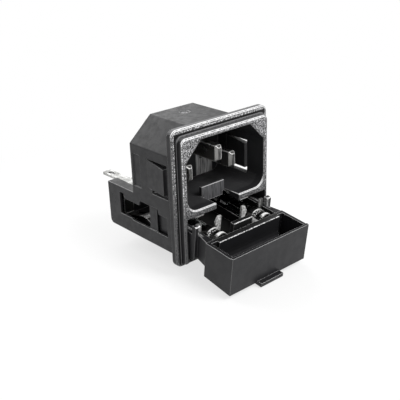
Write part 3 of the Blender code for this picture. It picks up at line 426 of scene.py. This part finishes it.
def housing_plastic():
    """Black moulded nylon: plain walls, a coarse eroded front, and a streaked interlock tongue,
    with painted light and shade on the front, on the tongue, in the cavity and on the roof.
    """
    tree = Nodes("housing_black_nylon")
    x, y, z = tree.axes("Object")
    facing = tree.axes("Normal")
    forward = tree.below(facing[1], -0.4, 0.1)
    speck = speckle(tree)
    lines = tree.noise(*TONGUE_LINES, tree.stretched((4.0, 1.0, 0.25)))
    streak = tree.span(lines, 0.35, 0.65)
    cloud = tree.noise(*HOUSING_CLOUD)

    # Plain walls, and the paler floor of the cavity
    plain = tree.blend(cloud, *NYLON)
    deep = tree.both(
        tree.above(y, -1.0 * MM, 0.3 * MM),
        tree.below(y, CAVITY_BACK),
        tree.above(facing[2], 0.3, 0.1),
        tree.between(z, CAVITY_FLOOR_Z, 0.2 * MM),
    )
    plain = tree.blend(deep, plain, tree.blend(cloud, *CAVITY_FLOOR))

    # Eroded front: the frame, and the flange's rim beyond a crease painted black as shade
    front = tree.below(y, FRAME_FRONT + 0.6 * MM)
    flange = tree.both(forward, tree.below(y, -0.3 * MM), tree.above(y, FRAME_FRONT + 1.2 * MM))
    beyond = tree.either(
        tree.above(tree.absolute(x), FRAME_HALF + SIDE_CREASE, 0.12 * MM),
        tree.above(z, FRAME_TOP + TOP_CREASE, 0.12 * MM),
    )
    crease = tree.both(flange, tree.outside(beyond))
    rim = tree.both(flange, beyond)
    # Painted shade: fewer light grains towards the foot, so the front darkens downwards
    frame_foot_shade = tree.span(z, FADE_LOW, FADE_HIGH, FRAME_SHADED_FOOT_SHARE, 1.0)
    rim_foot_shade = tree.span(z, FADE_LOW, RIM_FADE_HIGH, RIM_SHADED_FOOT_SHARE, 1.0)
    grained = tree.either(tree.both(forward, front, frame_foot_shade), tree.both(rim, rim_foot_shade))
    # Painted highlight on the front's slanted faces, picked by their normals
    slant = tree.both(front, tree.above(facing[1], -0.93, 0.05), forward)
    # Grains of the eroded front, their light tone partly a painted sheen; the rim's grains lighter
    # as a painted highlight
    grain = tree.blend(speckle(tree, -0.03), *FRONT_GRAIN_SHEEN)
    grain = tree.blend(tree.both(slant, speck), grain, SLANT_HIGHLIGHT)
    grain = tree.blend(rim, grain, tree.blend(speckle(tree, -0.03), *RIM_GRAIN_HIGHLIGHT))
    colour = tree.blend(grained, plain, grain)

    # Painted highlight on the flange's top face, painted shade in the crease, the tongue's streaks
    # painted lighter, a painted pool of light on the cavity's back wall, and the mould mark on the
    # roof with a painted highlight
    ledge = tree.both(
        tree.above(facing[2], 0.6, 0.1),
        tree.below(y, -0.3 * MM, 0.2 * MM),
        tree.above(z, FRAME_TOP - 0.5 * MM, 0.3 * MM),
        tree.outside(grained),
    )
    colour = tree.blend(ledge, colour, LEDGE_HIGHLIGHT)
    colour = tree.blend(crease, colour, CREASE_SHADE)
    # Tongue: tool-mark streaks, painted lighter as light falling on it
    tongue = tree.both(tree.between(y, TONGUE_Y), forward)
    colour = tree.blend(tongue, colour, tree.blend(streak, *TONGUE_STREAKS_AND_LIGHT))
    # Painted pool of light on the cavity's back wall
    light_pool = tree.both(
        forward,
        tree.above(y, CAVITY_BACK - 0.3 * MM),
        tree.above(x, LIGHT_POOL_X[0]),
        tree.below(x, LIGHT_POOL_X[1], 0.3 * MM),
        tree.above(z, LIGHT_POOL_Z[0]),
        tree.below(z, LIGHT_POOL_Z[1], 0.2 * MM),
    )
    colour = tree.blend(light_pool, colour, tree.blend(streak, *LIGHT_POOL_STREAKS))
    # Mould mark on the roof, its light speckle a painted highlight
    from_mark = tree.distance(x, tree.math("SUBTRACT", y, MARK_Y))
    mark = tree.both(
        tree.below(from_mark, MARK_RADIUS, 0.2 * MM),
        tree.above(z, -1.5 * MM, 0.2 * MM),
        tree.outside(grained),
        speck,
    )
    colour = tree.blend(mark, colour, MARK_HIGHLIGHT)

    rough = tree.mixed(grained, tree.patchy(*HOUSING_ROUGH), GRAIN_ROUGH)
    tree.set(Base_Color=colour, Roughness=rough, Specular_IOR_Level=PLASTIC_SHINE)
    skin = tree.math("MULTIPLY", tree.noise(*SKIN_GRAIN), 0.35)
    tree.bump(tree.mixed(grained, skin, speck), GRAIN_DEPTH, 0.9)
    return tree.material


def step_plastic():
    """The narrow step round the frame: a painted highlight along the top, plain black down the
    sides.
    """
    tree = Nodes("step_black_nylon")
    # Painted highlight along the top run
    upper = tree.above(tree.axes("Object")[2], FRAME_TOP - 0.6 * MM, 0.5 * MM)
    speck = speckle(tree)
    tree.set(Base_Color=tree.blend(upper, NYLON[0], tree.blend(speck, *STEP_TOP_HIGHLIGHT)))
    tree.set(Roughness=tree.span(speck, 0.0, 1.0, *STEP_ROUGH))
    tree.set(Specular_IOR_Level=PLASTIC_SHINE)
    tree.bump(speck, STEP_DEPTH, 0.6)
    return tree.material


def painted_highlight_dots(tree, colour):
    """White dots of painted highlight along the long edges of the drawer beside the fuses, and on
    its posts.
    """
    x, y, z = tree.axes("Object")
    across = tree.absolute(x)
    dots = tree.span(tree.noise(*HIGHLIGHT_DOTS), 0.42, 0.54, 0.12, 1.0)
    for inner, outer, line_y, line_z, reach in HIGHLIGHT_LINES:
        off_y = tree.math("SUBTRACT", y, line_y * MM)
        off_z = tree.math("SUBTRACT", z, line_z * MM)
        near = tree.below(tree.distance(off_y, off_z), reach * MM, 0.05 * MM)
        length = tree.between(across, (inner * MM, outer * MM))
        colour = tree.blend(tree.both(near, dots, length), colour, WHITE)
    return colour


def painted_edge_highlight(name, light, shine, side_share=0.3, quiet_share=None, with_highlight_dots=False):
    """Rounded edges: a painted highlight on the outer ones, strongest on upward ones, in patches;
    inner corners keep the plastic's tone.

    side_share is how much of the painted highlight upright and lower edges get. With a
    quiet_share, edges behind the front get that share only, apart from those of the interlock
    tongue. With the dots flag set, the drawer's painted highlight dots run on over them.
    """
    tree = Nodes(name)
    shade = tree.add("ShaderNodeAmbientOcclusion", samples=8)
    shade.inputs["Distance"].default_value = HIGHLIGHT_REACH
    open_edge = tree.span(shade.outputs["AO"], 0.55, 0.9)
    upward = tree.span(tree.axes("Normal")[2], 0.05, 0.5, side_share, 1.0)
    patches = tree.span(tree.noise(*HIGHLIGHT_PATCHES), 0.36, 0.60, 0.78, 1.0)
    highlit = tree.both(open_edge, upward, patches)
    if quiet_share:
        x, y, z = tree.axes("Object")
        share = tree.span(y, QUIET_FROM - 0.2 * MM, QUIET_FROM + 0.2 * MM, 1.0, quiet_share)
        tongue = tree.both(
            tree.between(y, TONGUE_EDGE_Y),
            tree.below(tree.absolute(x), TONGUE_HALF),
            tree.below(z, TONGUE_TOP, 0.2 * MM),
            open_edge,
        )
        highlit = tree.either(tree.both(highlit, share), tree.math("MULTIPLY", tongue, TONGUE_EDGE_HIGHLIGHT))
    colour = tree.blend(highlit, EDGE_DARK, light)
    if with_highlight_dots:
        colour = painted_highlight_dots(tree, colour)
    tree.set(Base_Color=colour, Roughness=tree.patchy(*EDGE_ROUGH), Specular_IOR_Level=shine)
    tree.bump(tree.noise(*SKIN_GRAIN), EDGE_DEPTH, 0.6)
    return tree.material


def drawer_plastic():
    """Black moulded nylon of the drawer: faint clouds, painted shade on the inner end, painted
    highlights on the post corners.
    """
    tree = Nodes("drawer_black_nylon")
    x, y, z = tree.axes("Object")
    across = tree.absolute(x)
    cloud = tree.noise(*DRAWER_CLOUD)
    colour = tree.blend(cloud, *DRAWER_NYLON)
    # Painted shade on the drawer's inner end
    inside = tree.both(
        tree.above(y, TROUGH_BACK, 0.4 * MM),
        tree.below(across, DRAWER_INSIDE_HALF, 0.3 * MM),
    )
    colour = tree.blend(inside, colour, tree.blend(cloud, *DRAWER_INSIDE_SHADE))
    # Painted highlight on the post corners
    post = tree.both(
        tree.above(across, POST_X[0], 0.05 * MM),
        tree.below(across, POST_X[1], 0.08 * MM),
        tree.above(z, POST_LOW, 0.15 * MM),
        tree.above(y, POST_FRONT),
        speckle(tree),
    )
    colour = painted_highlight_dots(tree, tree.blend(post, colour, POST_HIGHLIGHT))
    tree.set(Base_Color=colour, Roughness=tree.patchy(*DRAWER_ROUGH))
    tree.set(Specular_IOR_Level=PLASTIC_SHINE)
    tree.bump(tree.noise(*DRAWER_GRAIN), DRAWER_DEPTH, 0.7)
    return tree.material


def plate_plastic():
    """Matt moulded nylon of the rear cover plate."""
    tree = Nodes("plate_black_nylon")
    tree.set(Base_Color=tree.blend(tree.noise(*PLATE_CLOUD), *PLATE_NYLON))
    tree.set(Roughness=tree.patchy(*PLATE_ROUGH))
    tree.bump(tree.noise(*PLATE_GRAIN), PLATE_DEPTH, 0.8)
    return tree.material


def pin_tones(tree, colour):
    """Dark drawn tips with a painted highlight strip on their right, and flanks painted darker as
    shade inside the cavity.
    """
    x, y, z = tree.axes("Object")
    facing = tree.axes("Normal")
    tip = tree.both(
        tree.below(facing[0], 0.2, 0.1),
        tree.below(facing[2], 0.45, 0.1),
        tree.below(facing[1], -0.3, 0.05),
    )
    drawn = tree.span(tree.noise(*DRAWN_LINES, tree.stretched((3.0, 1.0, 0.3))), 0.35, 0.65)
    colour = tree.blend(tip, colour, tree.blend(drawn, *PIN_ENDS))
    # Painted shade on the flanks
    flank = tree.both(
        tree.above(tree.absolute(facing[0]), 0.8, 0.08),
        tree.below(y, CAVITY_BACK, 0.2 * MM),
    )
    colour = tree.blend(flank, colour, PIN_FLANK_SHADE)
    # Painted highlight strip on the right of each pin's tip
    turns = tree.math("DIVIDE", x, PIN_PITCH)
    apart = tree.math("SUBTRACT", turns, tree.math("ROUND", turns))
    from_middle = tree.math("MULTIPLY", apart, PIN_PITCH)
    strip = tree.both(
        tree.above(from_middle, PIN_GLINT, 0.05 * MM),
        tree.below(facing[1], -0.15, 0.05),
    )
    return tree.blend(strip, colour, PIN_HIGHLIGHT)


def rolled_metal(name, finish, pin=False, shade_from=None, patches=METAL_PATCHES):
    """Plated strip with rolling lines and duller patches; beyond a given |x| it is painted dark as
    shade.
    """
    dark, light, rough, metal = finish
    tree = Nodes(name)
    lines = tree.noise(*ROLLED_LINES, tree.stretched((1.0, 6.0, 6.0)))
    dull = tree.noise(*patches)
    colour = tree.blend(tree.span(dull, 0.3, 0.72), light, dark)
    if pin:
        colour = pin_tones(tree, colour)
    # Painted shade beyond the given |x|
    if shade_from:
        across = tree.absolute(tree.axes("Object")[0])
        colour = tree.blend(tree.above(across, shade_from), colour, CLIP_OUTER_SHADE)
    blotch = tree.span(dull, 0.35, 0.7, *rough)
    tree.set(Base_Color=colour, Metallic=metal)
    tree.set(Roughness=tree.math("ADD", blotch, tree.math("MULTIPLY", lines, 0.08)))
    tree.bump(lines, ROLLED_DEPTH, 0.6)
    return tree.material


def cap_metal():
    """Bright nickel cap: a dark tone painted as its reflection of the dark drawer and as shade on
    its rear part, with painted highlights on its rims, flanks and dents.
    """
    tree = Nodes("fuse_cap_nickel")
    x, y, z = tree.axes("Object")
    facing = tree.axes("Normal")
    along = [tree.math("MULTIPLY", value, share) for value, share in zip((y, z), FUSE_AXIS[1:])]
    along = tree.math("SUBTRACT", tree.math("ADD", *along), CAP_START)
    rim = tree.both(
        tree.below(along, CAP_RIM[1], 0.06 * MM),
        tree.above(along, CAP_RIM[0], 0.05 * MM),
        tree.above(facing[0], -0.45, 0.15),
    )
    flank = tree.both(tree.below(facing[0], -0.84, 0.05), tree.below(along, CAP_FLANK_END))
    glint = tree.both(
        tree.between(facing[0], (0.14, 0.28), 0.04),
        tree.between(along, CAP_GLINT, 0.2 * MM),
    )
    tail = tree.both(
        tree.between(along, CAP_TAIL),
        tree.below(tree.absolute(facing[0]), 0.62, 0.12),
    )
    dents = tree.both(
        tree.above(along, CAP_STAMPED[0], 0.2 * MM),
        tree.below(along, CAP_STAMPED[1]),
        tree.span(tree.noise(*CAP_DENTS), 0.52, 0.60),
    )
    # Painted highlights on rims, flanks, a glint band, the tail and the stamped dents; elsewhere
    # the painted dark reflection
    light = tree.either(rim, flank, glint, tail, dents)
    tree.set(Base_Color=tree.blend(light, *CAP_SHADE_AND_HIGHLIGHT))
    tree.set(Metallic=tree.mixed(light, *CAP_METAL), Roughness=tree.mixed(light, *CAP_ROUGH))
    tree.bump(dents, DENT_DEPTH, 0.8)
    return tree.material


def clear_glass():
    """Thin drawn glass with slight waves and a trace of dust."""
    tree = Nodes("fuse_tube_glass")
    dust = tree.noise(*GLASS_DUST)
    tree.set(Base_Color=tree.blend(dust, *GLASS))
    tree.set(Roughness=tree.span(dust, 0.5, 0.8, *GLASS_ROUGH))
    tree.set(Transmission_Weight=1.0, IOR=GLASS_IOR)
    waves = tree.noise(*GLASS_WAVES, tree.stretched((1.0, 0.2, 1.0)))
    tree.bump(waves, WAVE_DEPTH, 0.4)
    return tree.material


def floor_material():
    """Pale floor that keeps the object's soft shadow and fades to the white background."""
    tree = Nodes("pale_floor")
    tree.set(Base_Color=(FLOOR_ALBEDO, FLOOR_ALBEDO, FLOOR_ALBEDO, 1.0), Roughness=0.9)
    tree.set(Specular_IOR_Level=0.0)
    length = tree.add("ShaderNodeVectorMath", operation="LENGTH")
    tree.feed(length.inputs[0], tree.coords.outputs["Object"])
    far = tree.span(length.outputs["Value"], *FLOOR_FADE, FLOOR_GLOW, 1.0)
    path = tree.add("ShaderNodeLightPath")
    rays = ("Is Camera Ray", "Is Glossy Ray", "Is Transmission Ray")
    seen = tree.either(*[path.outputs[ray] for ray in rays])
    glow = tree.add("ShaderNodeEmission")
    glow.inputs["Color"].default_value = (*WHITE, 1)
    mix = tree.add("ShaderNodeMixShader")
    tree.feed(mix.inputs[0], tree.both(far, seen))
    tree.feed(mix.inputs[1], tree.shader.outputs[0])
    tree.feed(mix.inputs[2], glow.outputs[0])
    tree.feed(tree.tree.nodes["Material Output"].inputs["Surface"], mix.outputs[0])
    return tree.material


def make_floor():
    """Sheet just below the part, for the picture only."""
    half = FLOOR_HALF
    mesh = bpy.data.meshes.new("floor")
    corners = [(-half, -half, 0), (half, -half, 0), (half, half, 0), (-half, half, 0)]
    mesh.from_pydata(corners, [], [(0, 1, 2, 3)])
    mesh.materials.append(floor_material())
    floor = add_object("floor", mesh)
    middle = (Vector(CAD_BOX[0]) + Vector(CAD_BOX[1])) / 2
    floor.location = (middle.x, middle.y, CAD_BOX[0][2] - FLOOR_GAP)


def make_world():
    """White where the camera or glass looks at it, a dimmer even fill for everything else."""
    world = bpy.data.worlds.new("studio")
    world.use_nodes = True
    tree = world.node_tree
    fill = tree.nodes["Background"]
    white = tree.nodes.new("ShaderNodeBackground")
    for shader, strength in ((fill, WORLD_FILL), (white, 1.0)):
        shader.inputs["Color"].default_value = (*WHITE, 1)
        shader.inputs["Strength"].default_value = strength
    path = tree.nodes.new("ShaderNodeLightPath")
    seen = tree.nodes.new("ShaderNodeMath")
    seen.operation = "MAXIMUM"
    for place, ray in enumerate(("Is Camera Ray", "Is Transmission Ray")):
        tree.links.new(path.outputs[ray], seen.inputs[place])
    mix = tree.nodes.new("ShaderNodeMixShader")
    for place, node in enumerate((seen, fill, white)):
        tree.links.new(node.outputs[0], mix.inputs[place])
    tree.links.new(mix.outputs[0], tree.nodes["World Output"].inputs["Surface"])
    bpy.context.scene.world = world


def soft_light(name, spot, target, size, power):
    """Rectangular area lamp, aimed at the target."""
    lamp = bpy.data.lights.new(name, "AREA")
    lamp.shape = "RECTANGLE"
    lamp.size, lamp.size_y = size
    lamp.energy = power
    light = add_object(name, lamp)
    light.location = spot
    way = Vector(target) - Vector(spot)
    light.rotation_euler = way.to_track_quat("-Z", "Y").to_euler()


def soften_edges(node, width, slot, clamp):
    """Small rounded edges, as moulded and stamped parts have, without touching the CAD mesh."""
    weld = node.modifiers.new("weld", "WELD")
    weld.merge_threshold = WELD_REACH
    flat = node.modifiers.new("flat", "DECIMATE")
    flat.decimate_type = "DISSOLVE"
    flat.angle_limit = FLAT_ANGLE
    edge = node.modifiers.new("edge", "BEVEL")
    edge.width = width * MM
    edge.segments = 2
    edge.limit_method = "ANGLE"
    edge.angle_limit = BEND_ANGLE
    edge.use_clamp_overlap = clamp
    edge.harden_normals = True
    edge.material = slot


def arc_loop(half, low, high, radii):
    """Closed outline of the frame seen from the front, with rounded corners, anticlockwise."""
    foot, head = radii
    corners = (
        (-half, low, foot, 180),
        (half, low, foot, 270),
        (half, high, head, 0),
        (-half, high, head, 90),
    )
    points = []
    for x, z, radius, start in corners:
        centre_x = x - math.copysign(radius, x)
        centre_z = z + (radius if z == low else -radius)
        for step in range(ARC_STEPS + 1):
            turn = math.radians(start + 90 * step / ARC_STEPS)
            points.append((centre_x + radius * math.cos(turn), centre_z + radius * math.sin(turn)))
    return points


def frame_step(finish, edge):
    """Narrow step round the foot of the raised frame, between it and the flange."""
    bite, width = STEP_BITE, STEP_WIDTH
    inner = arc_loop(FRAME_HALF - bite, FRAME_LOW + bite, FRAME_TOP - bite, STEP_INNER)
    outer = arc_loop(FRAME_HALF + width, FRAME_LOW - width, FRAME_TOP + width, STEP_OUTER)
    back, front = FLANGE_FRONT + bite, FLANGE_FRONT - STEP_RAISE
    rings = [(outer, back), (outer, front), (inner, front), (inner, back)]
    points = [(x, y, z) for loop, y in rings for x, z in loop]
    count = len(inner)
    faces = []
    for ring in range(len(rings)):
        here = ring * count
        there = (ring + 1) % len(rings) * count
        for k in range(count):
            after = (k + 1) % count
            faces.append((here + k, here + after, there + after, there + k))
    mesh = bpy.data.meshes.new("frame_step")
    mesh.from_pydata(points, [], faces)
    mesh.materials.append(finish)
    mesh.materials.append(edge)
    step = add_object("frame_step", mesh)
    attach(step, "inlet")
    soften_edges(step, STEP_ROUND, 1, True)


def dress(names, finish, width=0.0, edge=None, clamp=True):
    """Give nodes a finish and rounded edges, which take the edge's finish where one is given."""
    for name in names:
        node = NODES[name]
        node.data.materials.clear()
        node.data.materials.append(finish)
        if edge:
            node.data.materials.append(edge)
        if width:
            soften_edges(node, width, 1 if edge else -1, clamp)


def pair(*kinds):
    """Names of the left and the right pieces of these kinds."""
    return [f"{side}_{kind}" for side in PAIR for kind in kinds]


place_camera()
make_world()
make_floor()
for lamp_values in LAMPS:
    soft_light(*lamp_values)

housing_edge_highlight = painted_edge_highlight("housing_edge_highlight", HOUSING_EDGE_HIGHLIGHT, EDGE_SHINE, 0.08, quiet_share=QUIET_SHARE)
drawer_edge_highlight = painted_edge_highlight("drawer_edge_highlight", DRAWER_EDGE_HIGHLIGHT, EDGE_SHINE, 0.2, with_highlight_dots=True)
dress(["housing"], housing_plastic(), HOUSING_ROUND, housing_edge_highlight, clamp=False)
frame_step(step_plastic(), painted_edge_highlight("step_edge_highlight", STEP_EDGE_HIGHLIGHT, STEP_EDGE_SHINE))
dress(["fuse_drawer"], drawer_plastic(), DRAWER_ROUND, drawer_edge_highlight, clamp=False)
dress(["rear_plate"], plate_plastic(), PLATE_ROUND)

nickel = rolled_metal("pin_nickel", PIN_NICKEL, pin=True)
# Painted glint on the pins' rounded edges and on the contact leaves
pin_edge_glint = rolled_metal("pin_edge_glint", GLINT_METAL, pin=True)
leaf_glint = rolled_metal("leaf_glint", GLINT_METAL)
dress(["earth_pin"] + pair("power_pin"), nickel, STAMPED_ROUND, pin_edge_glint, clamp=False)
tin = rolled_metal("contact_tin", CONTACT_TIN)
tab_edge = rolled_metal("tab_edge", TAB_EDGE)
dress(pair("solder_tab"), tin, STAMPED_ROUND, tab_edge)
dress(pair("front_contact"), leaf_glint, LEAF_ROUND)
# Rear contacts in a darker tin
darker_rear_tin = rolled_metal("rear_contact_tin", REAR_TIN)
dress(pair("rear_contact"), darker_rear_tin, STAMPED_ROUND, leaf_glint)
# Clips: nickel with a painted highlight in its light tone, painted shade on the outer part
clip = rolled_metal("clip_nickel_highlight", CLIP_NICKEL_HIGHLIGHT, shade_from=CLIP_SHADE_FROM, patches=CLIP_PATCHES)
dress(pair("fuse_clip"), clip, CLIP_ROUND)
dress(pair("fuse_front_cap", "fuse_rear_cap"), cap_metal(), CAP_ROUND)
dress(pair("fuse_tube"), clear_glass())
dress(pair("fuse_wire"), rolled_metal("fuse_wire_tin", WIRE_TIN))

bpy.context.scene.view_settings.view_transform = "Standard"
bpy.context.view_layer.update()
